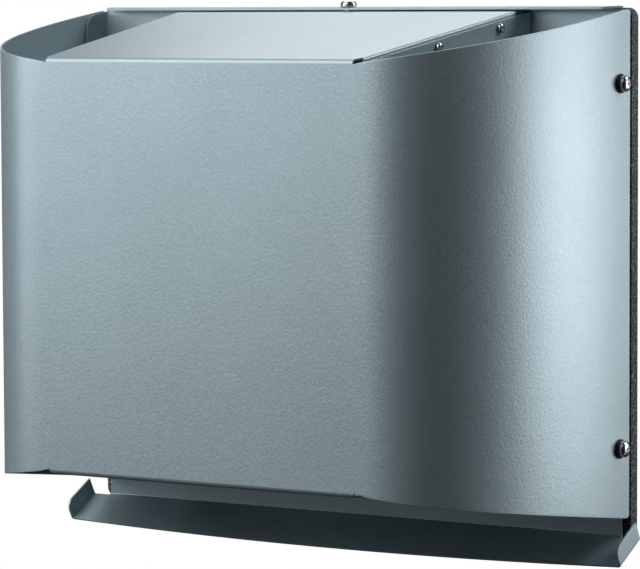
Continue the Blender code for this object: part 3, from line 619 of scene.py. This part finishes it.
class HOOD_OT_cowl(bpy.types.Operator):
    """Bend the cowl from one sheet: front, wings, lid and bottom tab"""

    bl_idname = "hood.cowl"
    bl_label = "Cowl"

    def execute(self, context):
        sizes = context.scene.hood_sizes
        front_y = COWL_LOW.y
        lid_bend_angle = math.pi / 2 - math.atan(lid_slope(sizes))
        lid_start = sizes.front_top - LID_BEND * math.tan(lid_bend_angle / 2)
        tab_start = sizes.front_bottom + BOTTOM_BEND
        fold_half = sizes.panel_half - sizes.relief_width
        wing_top = sizes.front_top - sizes.wing_top_drop
        wing_bottom = sizes.front_bottom + sizes.wing_bottom_rise
        middle_z = (wing_top + wing_bottom) / 2
        height = wing_top - wing_bottom
        piece = start_sheet("cowl_sheet", 2 * sizes.panel_half, height, (0.0, front_y, middle_z))

        for x in (0.0, fold_half, -fold_half):
            score((x, 0.0, 0.0), (1.0, 0.0, 0.0))
        for z in (tab_start, lid_start):
            score((0.0, 0.0, z), (0.0, 0.0, 1.0))
        cut_away(piece, lambda p: p.z > lid_start - NEAR and abs(p.x) < fold_half + NEAR)
        cut_away(piece, lambda p: p.z < tab_start + NEAR and abs(p.x) < fold_half + NEAR)
        for side in (1, -1):
            for start in (lid_start, tab_start):
                high = start == lid_start
                pick(piece, "VERT", lambda p: abs(p.x - side * fold_half) < NEAR
                     and (p.z > start + NEAR if high else p.z < start - NEAR))
                bpy.ops.mesh.delete(type="VERT")
                pick(piece, "VERT", lambda p: abs(p.z - start) < NEAR and side * p.x > fold_half - NEAR
                     or side * p.x > sizes.panel_half - NEAR
                     and (p.z > start - NEAR if high else p.z < start + NEAR))
                bpy.ops.mesh.edge_face_add()

        # The wings grow evenly along their run, towards the wall's greater height
        points, runs = wing_plan(sizes)
        up = COWL_HIGH.z - wing_top
        down = wing_bottom - COWL_LOW.z
        still = (up * wing_bottom + down * wing_top) / (up + down)
        for side in (1, -1):
            pick(piece, "EDGE", lambda p: abs(p.x - side * sizes.panel_half) < NEAR)
            grown = 1.0
            for before, after, run in zip(points, points[1:], runs[1:]):
                pull((side * (after.x - before.x), after.y - before.y, 0.0))
                wanted = 1 + (up + down) / height * run / runs[-1]
                stretch((1.0, 1.0, wanted / grown), (0.0, 0.0, still))
                grown = wanted
        rear = COWL_HIGH.y - NEAR
        round_corner(piece, lambda p: p.y > rear and (
            p.z > COWL_HIGH.z - CORNER_REACH or p.z < COWL_LOW.z + CORNER_REACH), sizes.wing_corner)

        # Lid: bent back from the front, spreading towards the plate
        pick(piece, "EDGE", lambda p: abs(p.z - lid_start) < NEAR and abs(p.x) < fold_half + NEAR
             and p.y < front_y + NEAR)
        fold(-lid_bend_angle, (0.0, front_y + LID_BEND, lid_start), (1.0, 0.0, 0.0), 9)
        here = Vector((0.0, front_y + LID_BEND * (1 - math.cos(lid_bend_angle)),
                       lid_start + LID_BEND * math.sin(lid_bend_angle)))
        flange_y, level_y = front_y + LID_FLANGE_SETBACK, lid_level_y(sizes)
        rear_y = PLATE_BACK - sizes.sheet - LID_REAR_GAP
        level_z = lid_height(level_y, sizes)
        rear_z = level_z + sizes.lid_level_slope * (rear_y - level_y)
        spread = 1.0
        for y, z in ((flange_y, lid_height(flange_y, sizes)), (level_y, level_z), (rear_y, rear_z)):
            there = Vector((0.0, y, z))
            pull(there - here)
            wanted = (chamber_half(y, sizes) - LID_EDGE_BEND) / fold_half
            stretch((wanted / spread, 1.0, 1.0), (0.0, y, z))
            spread, here = wanted, there

        # The lid's side flanges turn down over the chamber walls
        normal = Vector((0.0, -lid_slope(sizes), 1.0)).normalized()
        for side in (1, -1):
            ends = [Vector((side * (chamber_half(y, sizes) - LID_EDGE_BEND), y, lid_height(y, sizes)))
                    for y in (flange_y, level_y)]
            pick(piece, "EDGE", lambda p: flange_y - NEAR < p.y < level_y + NEAR and p.z > sizes.front_top
                 and abs(p.x - side * (chamber_half(p.y, sizes) - LID_EDGE_BEND)) < NEAR)
            fold(side * math.pi / 2, ends[0] - normal * LID_EDGE_BEND, ends[1] - ends[0], 5)
            pull((0.0, 0.0, LID_EDGE_BEND - sizes.lid_flange_drop))

        # Bottom tab: bent back under the front
        pick(piece, "EDGE", lambda p: abs(p.z - tab_start) < NEAR and abs(p.x) < fold_half + NEAR
             and p.y < front_y + NEAR)
        fold(math.pi / 2, (0.0, front_y + BOTTOM_BEND, tab_start), (1.0, 0.0, 0.0), 9)
        pull((0.0, sizes.tab_depth - BOTTOM_BEND, 0.0))

        make_solid(piece, (0.0, -1.0, 0.0), sizes.sheet)
        break_edges(piece)
        fit(context, piece, "silver_grey_powder_coat", "cowl")
        return {"FINISHED"}


class HOOD_OT_back_plate(bpy.types.Operator):
    """Bend the back plate with its side and top flanges, and cut its holes"""

    bl_idname = "hood.back_plate"
    bl_label = "Back plate"

    def execute(self, context):
        sizes = context.scene.hood_sizes
        back = PLATE_BACK
        half = PLATE_HIGH.x
        bend = TIGHT_BEND
        flange_half = COWL_HIGH.x - TOP_FLANGE_INSET
        side_top = COWL_HIGH.z - SIDE_FLANGE_TOP_INSET
        side_bottom = COWL_LOW.z + SIDE_FLANGE_BOTTOM_INSET
        top_start = PLATE_HIGH.z - bend
        bottom = PLATE_LOW.z
        middle_z = (top_start + bottom) / 2
        piece = start_sheet("back_plate_sheet", 2 * (half - bend), top_start - bottom, (0.0, back, middle_z))
        for x in (flange_half, 0.0, -flange_half):
            score((x, 0.0, 0.0), (1.0, 0.0, 0.0))
        for z in (side_top, side_bottom):
            score((0.0, 0.0, z), (0.0, 0.0, 1.0))
        cut_away(piece, lambda p: abs(p.x) > flange_half - NEAR and p.z > side_top - NEAR)
        cut_away(piece, lambda p: abs(p.x) > flange_half - NEAR and p.z < side_bottom + NEAR)
        for side in (1, -1):
            pick(piece, "EDGE", lambda p: abs(p.x - side * (half - bend)) < NEAR)
            fold(-side * math.pi / 2, (side * (half - bend), back - bend, 0.0), (0.0, 0.0, 1.0))
            pull((0.0, bend - sizes.side_flange_depth, 0.0))
        front = back - sizes.side_flange_depth
        pick(piece, "VERT", lambda p: p.y < front + NEAR and p.z > middle_z)
        bpy.ops.transform.translate(value=(0.0, 0.0, -sizes.side_flange_fall))
        round_corner(piece, lambda p: p.y < front + NEAR, SIDE_FLANGE_CORNER)
        fall = math.atan(sizes.top_flange_slope)
        pick(piece, "EDGE", lambda p: abs(p.z - top_start) < NEAR and abs(p.x) < flange_half + NEAR
             and p.y > back - NEAR)
        fold(math.pi / 2 + fall, (0.0, back - bend, top_start), (1.0, 0.0, 0.0), 9)
        bend_end = Vector((0.0, back - bend - bend * math.sin(fall), top_start + bend * math.cos(fall)))
        edge_y = back - sizes.top_flange_depth
        pull((0.0, edge_y - bend_end.y, sizes.top_flange_slope * (edge_y - bend_end.y)))
        stretch(((flange_half - TOP_FLANGE_CHAMFER) / flange_half, 1.0, 1.0), (0.0, 0.0, 0.0))
        make_solid(piece, (0.0, 1.0, 0.0), sizes.sheet)
        cut_openings(piece, back, PLATE_HOLE_ROOM, sizes)
        break_edges(piece)
        fit(context, piece, "silver_grey_powder_coat", "back_plate")
        return {"FINISHED"}


class HOOD_OT_chamber_walls(bpy.types.Operator):
    """Bend the two walls of the air chamber under the lid"""

    bl_idname = "hood.chamber_walls"
    bl_label = "Chamber walls"

    def execute(self, context):
        sizes = context.scene.hood_sizes
        for side, name in ((1, "chamber_wall_right"), (-1, "chamber_wall_left")):
            self.bend_wall(context, sizes, side, name)
        return {"FINISHED"}

    def bend_wall(self, context, sizes, side, name):
        """Bend one wall: its flange on the plate first, then the wall forwards to the front."""
        bend = TIGHT_BEND
        low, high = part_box(name)
        flange_y, front_y = high.y, low.y
        corner_y = flange_y - bend
        reach = SHEET_GAP + sizes.sheet
        corner_x = chamber_half(corner_y, sizes) + reach
        front_x = chamber_half(front_y, sizes) + reach
        flange_end = corner_x - WALL_FLANGE

        def top(y):
            return lid_height(y, sizes) - WALL_BELOW_LID

        def bottom(y):
            share = (y - front_y) / (flange_y - front_y)
            front_low = sizes.front_bottom + WALL_ABOVE_EDGE
            return front_low + (low.z - front_low) * share

        width = corner_x - bend - flange_end
        height = top(flange_y) - bottom(flange_y)
        centre = (side * (flange_end + width / 2), flange_y, (top(flange_y) + bottom(flange_y)) / 2)
        piece = start_sheet(name + "_sheet", width, height, centre)
        pick(piece, "EDGE", lambda p: abs(p.x - side * (corner_x - bend)) < NEAR)
        fold(-side * math.pi / 2, (side * (corner_x - bend), corner_y, 0.0), (0.0, 0.0, 1.0))
        grown, here = height, Vector((side * corner_x, corner_y, 0.0))
        for x, y in ((corner_x, corner_y), (front_x, front_y)):
            there = Vector((side * x, y, 0.0))
            if there != here:
                pull(there - here)
            heights = [vertex.co.z for vertex in bmesh.from_edit_mesh(piece.data).verts if vertex.select]
            wanted = top(y) - bottom(y)
            stretch((1.0, 1.0, wanted / grown), (0.0, 0.0, min(heights)))
            bpy.ops.transform.translate(value=(0.0, 0.0, bottom(y) - min(heights)))
            grown, here = wanted, there
        make_solid(piece, (side, 0.0, 0.0), sizes.sheet)
        break_edges(piece)
        fit(context, piece, "silver_grey_powder_coat", name)


class HOOD_OT_drip_tray(bpy.types.Operator):
    """Bend the drip tray: strip on the plate, sloped floor, bowed lip and end flaps"""

    bl_idname = "hood.drip_tray"
    bl_label = "Drip tray"

    def execute(self, context):
        sizes = context.scene.hood_sizes
        bend = TIGHT_BEND
        back = TRAY_HIGH.y
        half = TRAY_HIGH.x
        strip_half = COWL_HIGH.x - TRAY_STRIP_INSET
        flat_half = half - bend
        down, forward = math.sin(sizes.tray_fall), math.cos(sizes.tray_fall)
        bend_angle = math.pi / 2 - sizes.tray_fall
        fold_z = PLATE_LOW.z - TRAY_FOLD_BELOW_PLATE
        start_z = fold_z + bend * math.tan(bend_angle / 2)
        strip_top = TRAY_HIGH.z
        step, depth = TRAY_REAR_STEP, sizes.tray_depth
        slope = Vector((0.0, -forward, -down))
        rise = Vector((0.0, -down, forward))

        piece = start_sheet("drip_tray_sheet", 2 * strip_half, strip_top - start_z,
                            (0.0, back, (strip_top + start_z) / 2))
        for number in range(1, TRAY_COLUMNS):
            score(((2 * number / TRAY_COLUMNS - 1) * strip_half, 0.0, 0.0), (1.0, 0.0, 0.0))
        pick(piece, "EDGE", lambda p: abs(p.z - start_z) < NEAR)
        fold(-bend_angle, (0.0, back - bend, start_z), (1.0, 0.0, 0.0))
        corner = Vector((0.0, back - bend + bend * math.cos(bend_angle),
                         start_z - bend * math.sin(bend_angle)))
        pull(slope * step)
        pull(slope * (depth - step))

        def along(p):
            return (p - corner).dot(slope)

        def over(p):
            return (p - corner).dot(rise)

        for side in (1, -1):
            pick(piece, "EDGE", lambda p: abs(p.x - side * strip_half) < NEAR and along(p) > step - NEAR
                 and abs(over(p)) < NEAR)
            pull((side * (flat_half - strip_half), 0.0, 0.0))
            hinge = Vector((side * flat_half, 0.0, 0.0)) + corner + rise * bend
            fold(-side * math.pi / 2, hinge, -slope, 6)
            pull(rise * (sizes.tray_flap - bend))
            round_corner(piece, lambda p: abs(p.x - side * half) < NEAR and along(p) > depth - NEAR
                         and over(p) > sizes.tray_flap - NEAR, TRAY_FLAP_CORNER)

        # The lip bows forward between the flaps
        corners = [vertex.co for vertex in bmesh.from_edit_mesh(piece.data).verts]
        places = sorted({round(p.x, 5) for p in corners
                         if along(p) > depth - NEAR and abs(over(p)) < NEAR and abs(p.x) < flat_half - NEAR})
        for x in places:
            pick(piece, "VERT", lambda p: abs(p.x - x) < NEAR and abs(along(p) - depth) < NEAR
                 and abs(over(p)) < NEAR)
            bow = sizes.tray_bow * (1 - (x / flat_half) ** 2)
            bpy.ops.transform.translate(value=tuple(slope * bow))
        make_solid(piece, (0.0, 1.0, 0.0), sizes.sheet)
        break_edges(piece)
        fit(context, piece, "silver_grey_powder_coat", "drip_tray")
        return {"FINISHED"}


class HOOD_OT_gasket(bpy.types.Operator):
    """Cut the foam mat that seals the plate to the wall"""

    bl_idname = "hood.gasket"
    bl_label = "Wall gasket"

    def execute(self, context):
        sizes = context.scene.hood_sizes
        low, high = GASKET_LOW, GASKET_HIGH
        middle = (low + high) / 2
        piece = start_sheet("foam_mat", high.x - low.x, high.z - low.z, (0.0, low.y, middle.z))
        round_corner(piece, lambda p: True, FOAM_CORNER, 8)
        bpy.ops.mesh.select_mode(type="FACE")
        bpy.ops.mesh.select_all(action="SELECT")
        pull((0.0, high.y - low.y, 0.0))
        close_round(merge=False)
        cut_openings(piece, middle.y, FOAM_HOLE_ROOM, sizes)
        break_edges(piece, FOAM_EDGE_ROUND, 3)
        fit(context, piece, "sealing_foam", "wall_gasket")
        return {"FINISHED"}


class HOOD_OT_duct_collar(bpy.types.Operator):
    """Turn the collar that lines the duct opening"""

    bl_idname = "hood.duct_collar"
    bl_label = "Duct collar"

    def execute(self, context):
        sizes = context.scene.hood_sizes
        centre = (COLLAR_LOW + COLLAR_HIGH) / 2
        depth = COLLAR_HIGH.y - COLLAR_LOW.y
        outer = (COLLAR_HIGH.x - COLLAR_LOW.x) / 2
        inner = sizes.duct_radius - sizes.sheet
        piece = start_round("collar_ring", outer, 128)
        bpy.ops.mesh.select_all(action="SELECT")
        pull((0.0, 0.0, sizes.sheet))
        raise_rings(outer, [(inner + out, rise) for out, rise in COLLAR_LIP] + [
            (inner, sizes.sheet - depth), (sizes.duct_radius, 0.0),
            (sizes.duct_radius, depth - sizes.sheet), (outer, 0.0)])
        close_round()
        face = Vector((centre.x, COLLAR_LOW.y + sizes.sheet, centre.z))
        piece.data.transform(seat_matrix(face, (0.0, -1.0, 0.0)))
        break_edges(piece, 0.0002)
        fit(context, piece, "silver_grey_powder_coat", "duct_collar")
        return {"FINISHED"}


def head_master(name, size):
    """Pan-head screw with a cross recess, its seat at the origin and its head upwards."""
    shank, head, height, length = size
    under = head * HEAD_UNDER
    piece = start_round(name, under, 40, "NGON")
    bpy.ops.mesh.select_mode(type="FACE")
    bpy.ops.mesh.select_all(action="SELECT")
    raise_rings(under, [(head * wide, height * rise) for wide, rise in HEAD_DOME])
    pick(piece, "EDGE", lambda p: abs(p.z) < NEAR)
    raise_rings(under, [(shank, 0.0)])
    pull((0.0, 0.0, -length + shank * 0.5))
    pull((0.0, 0.0, -shank * 0.5))
    stretch((0.6, 0.6, 1.0), (0.0, 0.0, -length))
    bpy.ops.mesh.edge_face_add()
    close_round(merge=False)
    for turn in (0.0, math.pi / 2):
        put_down_tools()
        bpy.ops.mesh.primitive_cube_add(
            size=1.0, location=(0.0, 0.0, height * 0.8), rotation=(0.0, 0.0, turn))
        wedge = bpy.context.active_object
        wedge.scale = (head * RECESS[0], head * RECESS[1], height * RECESS[2])
        bpy.ops.object.transform_apply(location=True, rotation=True, scale=True)
        bpy.ops.object.mode_set(mode="EDIT")
        pick(wedge, "FACE", lambda p: p.z < height * 0.8)
        stretch((0.35, 0.35, 1.0), (0.0, 0.0, height * 0.25))
        bpy.ops.object.mode_set(mode="OBJECT")
        recess = piece.modifiers.new("recess", "BOOLEAN")
        recess.object = wedge
        apply_all(piece)
        bpy.data.objects.remove(wedge, do_unlink=True)
    break_edges(piece, 0.00008, 2, math.radians(40))
    return piece


class HOOD_OT_screws(bpy.types.Operator):
    """Form the pan-head screws and set one in each hole"""

    bl_idname = "hood.screws"
    bl_label = "Screws"

    def execute(self, context):
        slope = context.scene.hood_sizes.top_flange_slope
        start, by_depth, by_height = SCREW_TURN
        large = head_master("large_screw", M5_SCREW)
        small = head_master("small_screw", M3_SCREW)
        for node in sorted(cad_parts):
            if "screw" not in node:
                continue
            low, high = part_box(node)
            centre = (low + high) / 2
            master, size = large, M5_SCREW
            if node == "top_screw":
                direction = Vector((0.0, -slope, 1.0)).normalized()
                reach = size[2]
                seat = Vector((centre.x, low.y + size[1] - reach * slope,
                               high.z - reach * direction.z - size[1] * slope * TILTED_HEAD))
            else:
                side = 1 if centre.x > 0 else -1
                direction = Vector((side, 0.0, 0.0))
                if node.startswith("chamber"):
                    master, size = small, M3_SCREW
                outer = high.x if side > 0 else low.x
                seat = Vector((outer - side * size[2], centre.y, centre.z))
            turn = Matrix.Rotation(start + centre.z * by_height + centre.y * by_depth, 4, "Z")
            screw = copy_to(master, node + "_bright", seat_matrix(seat, direction) @ turn)
            fit(context, screw, "stainless_steel", node)
        bpy.data.objects.remove(large, do_unlink=True)
        bpy.data.objects.remove(small, do_unlink=True)
        return {"FINISHED"}


class HOOD_OT_washers(bpy.types.Operator):
    """Mould the sealing washers under the side screws"""

    bl_idname = "hood.washers"
    bl_label = "Sealing washers"

    def execute(self, context):
        names = sorted(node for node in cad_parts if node.startswith("side_washer"))
        low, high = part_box(names[0])
        outer, inner = (high.z - low.z) / 2, M5_SCREW[0] + SHANK_ROOM
        height = high.x - low.x
        master = start_round("washer_ring", inner, 48)
        bpy.ops.mesh.select_all(action="SELECT")
        raise_rings(inner, [(outer * wide, height * rise) for wide, rise in WASHER_RING] + [(inner, 0.0)])
        pull((0.0, 0.0, -height))
        close_round()
        break_edges(master, 0.0001)
        for node in names:
            low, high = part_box(node)
            centre = (low + high) / 2
            side = 1 if centre.x > 0 else -1
            seat = Vector((low.x if side > 0 else high.x, centre.y, centre.z))
            washer = copy_to(master, node + "_moulded", seat_matrix(seat, (side, 0.0, 0.0)))
            fit(context, washer, "sealing_rubber", node)
        bpy.data.objects.remove(master, do_unlink=True)
        return {"FINISHED"}


class HOOD_OT_rivets(bpy.types.Operator):
    """Give the blind rivets their zinc plating"""

    bl_idname = "hood.rivets"
    bl_label = "Rivets"

    def execute(self, context):
        zinc = finish_of(context, "zinc_plated_steel")
        for node in sorted(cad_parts):
            if "_rivet_" in node:
                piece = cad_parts[node]
                piece.data.materials.clear()
                piece.data.materials.append(zinc)
        return {"FINISHED"}


class HOOD_OT_studio(bpy.types.Operator):
    """Set the pale floor, the soft lights and the camera"""

    bl_idname = "hood.studio"
    bl_label = "Studio"

    def execute(self, context):
        scene = context.scene
        put_down_tools()
        bpy.ops.mesh.primitive_circle_add(
            vertices=96, radius=FLOOR_RADIUS, fill_type="NGON", location=(0.0, 0.0, FLOOR_LEVEL))
        floor = context.active_object
        floor.name = "studio_floor"
        bpy.ops.object.transform_apply(location=True, rotation=True, scale=True)
        pale = linear("E6E8EA")
        material, _, shader, _ = start_finish("studio_floor_paint", pale, 0.0, 0.75)
        # The floor glows a little of its own, so it stays pale, and throws none of that on the hood
        shader.inputs["Emission Color"].default_value = pale
        shader.inputs["Emission Strength"].default_value = FLOOR_GLOW
        floor.visible_diffuse = False
        floor.visible_glossy = False
        floor.data.materials.append(material)

        world = bpy.data.worlds.new("studio")
        scene.world = world
        world.use_nodes = True
        tree = world.node_tree
        shown = add_node(tree, "ShaderNodeBackground", None, {"Color": (1.0, 1.0, 1.0, 1.0), "Strength": 1.0})
        where = add_node(tree, "ShaderNodeTexCoord").outputs["Generated"]
        parts = add_node(tree, "ShaderNodeSeparateXYZ", None, {0: where})
        sky = add_node(tree, "ShaderNodeMapRange", None, {
            "Value": parts.outputs["Z"], "From Min": -0.4, "From Max": 0.6, "To Min": 0.012, "To Max": 0.020})
        lit = add_node(tree, "ShaderNodeBackground", None, {
            "Color": (0.93, 0.97, 1.0, 1.0), "Strength": sky.outputs["Result"]})
        path = add_node(tree, "ShaderNodeLightPath")
        mixed = add_node(tree, "ShaderNodeMixShader", None, {
            0: path.outputs["Is Camera Ray"], 1: lit.outputs[0], 2: shown.outputs[0]})
        tree.links.new(mixed.outputs[0], tree.nodes["World Output"].inputs["Surface"])

        for softbox in SOFTBOXES:
            self.soft_light(*softbox)
        self.aim_camera(scene)
        scene.view_settings.view_transform = "Standard"
        scene.view_settings.look = "None"
        return {"FINISHED"}

    def facing(self, point, azimuth, elevation, distance):
        """Place that looks at a point from a distance: azimuth from the front to the right wing."""
        a, e = math.radians(azimuth), math.radians(elevation)
        back = Vector((math.sin(a) * math.cos(e), -math.cos(a) * math.cos(e), math.sin(e)))
        turn = (-back).to_track_quat("-Z", "Y").to_matrix().to_4x4()
        return Matrix.Translation(Vector(point) + back * distance) @ turn

    def soft_light(self, name, azimuth, elevation, width, power):
        """Square softbox facing the middle of the hood."""
        light = bpy.data.lights.new(name, "AREA")
        light.shape = "RECTANGLE"
        light.size = light.size_y = width
        light.energy = power
        lamp = bpy.data.objects.new(name, light)
        bpy.context.scene.collection.objects.link(lamp)
        lamp.matrix_world = self.facing(LIT_POINT, azimuth, elevation, SOFTBOX_DISTANCE)
        lamp.visible_camera = False

    def aim_camera(self, scene):
        """Long lens from the right front, a little above."""
        azimuth, elevation, roll = CAMERA_TURN
        data = bpy.data.cameras.new("camera")
        data.sensor_width = 36.0
        data.lens = CAMERA_LENS
        data.clip_start, data.clip_end = 0.05, 50.0
        camera = bpy.data.objects.new("camera", data)
        scene.collection.objects.link(camera)
        scene.camera = camera
        place = self.facing(CAMERA_TARGET, azimuth, elevation, CAMERA_DISTANCE)
        camera.matrix_world = place @ Matrix.Rotation(math.radians(roll), 4, "Z")


PIECES = (HOOD_OT_cowl, HOOD_OT_back_plate, HOOD_OT_chamber_walls, HOOD_OT_drip_tray, HOOD_OT_gasket,
          HOOD_OT_duct_collar, HOOD_OT_screws, HOOD_OT_washers, HOOD_OT_rivets, HOOD_OT_studio)


class HOOD_PT_panel(bpy.types.Panel):
    """The hood's pieces, in the order they are made"""

    bl_label = "Wall hood"
    bl_idname = "HOOD_PT_panel"
    bl_space_type = "VIEW_3D"
    bl_region_type = "UI"
    bl_category = "Hood"

    def draw(self, context):
        column = self.layout.column()
        for name in HoodSizes.__annotations__:
            column.prop(context.scene.hood_sizes, name)
        for name in HoodFinish.__annotations__:
            column.prop(context.scene.hood_finish, name)
        for piece in PIECES:
            column.operator(piece.bl_idname)


CLASSES = (HoodSizes, HoodFinish, *PIECES, HOOD_PT_panel)


def register():
    for cls in CLASSES:
        bpy.utils.register_class(cls)
    bpy.types.Scene.hood_sizes = bpy.props.PointerProperty(type=HoodSizes)
    bpy.types.Scene.hood_finish = bpy.props.PointerProperty(type=HoodFinish)


def unregister():
    del bpy.types.Scene.hood_finish
    del bpy.types.Scene.hood_sizes
    for cls in reversed(CLASSES):
        bpy.utils.unregister_class(cls)


def main():
    register()
    put_down_tools()
    bpy.ops.hood.cowl()
    bpy.ops.hood.back_plate()
    bpy.ops.hood.chamber_walls()
    bpy.ops.hood.drip_tray()
    bpy.ops.hood.gasket()
    bpy.ops.hood.duct_collar()
    bpy.ops.hood.screws()
    bpy.ops.hood.washers()
    bpy.ops.hood.rivets()
    bpy.ops.hood.studio()


if __name__ == "__main__":
    main()
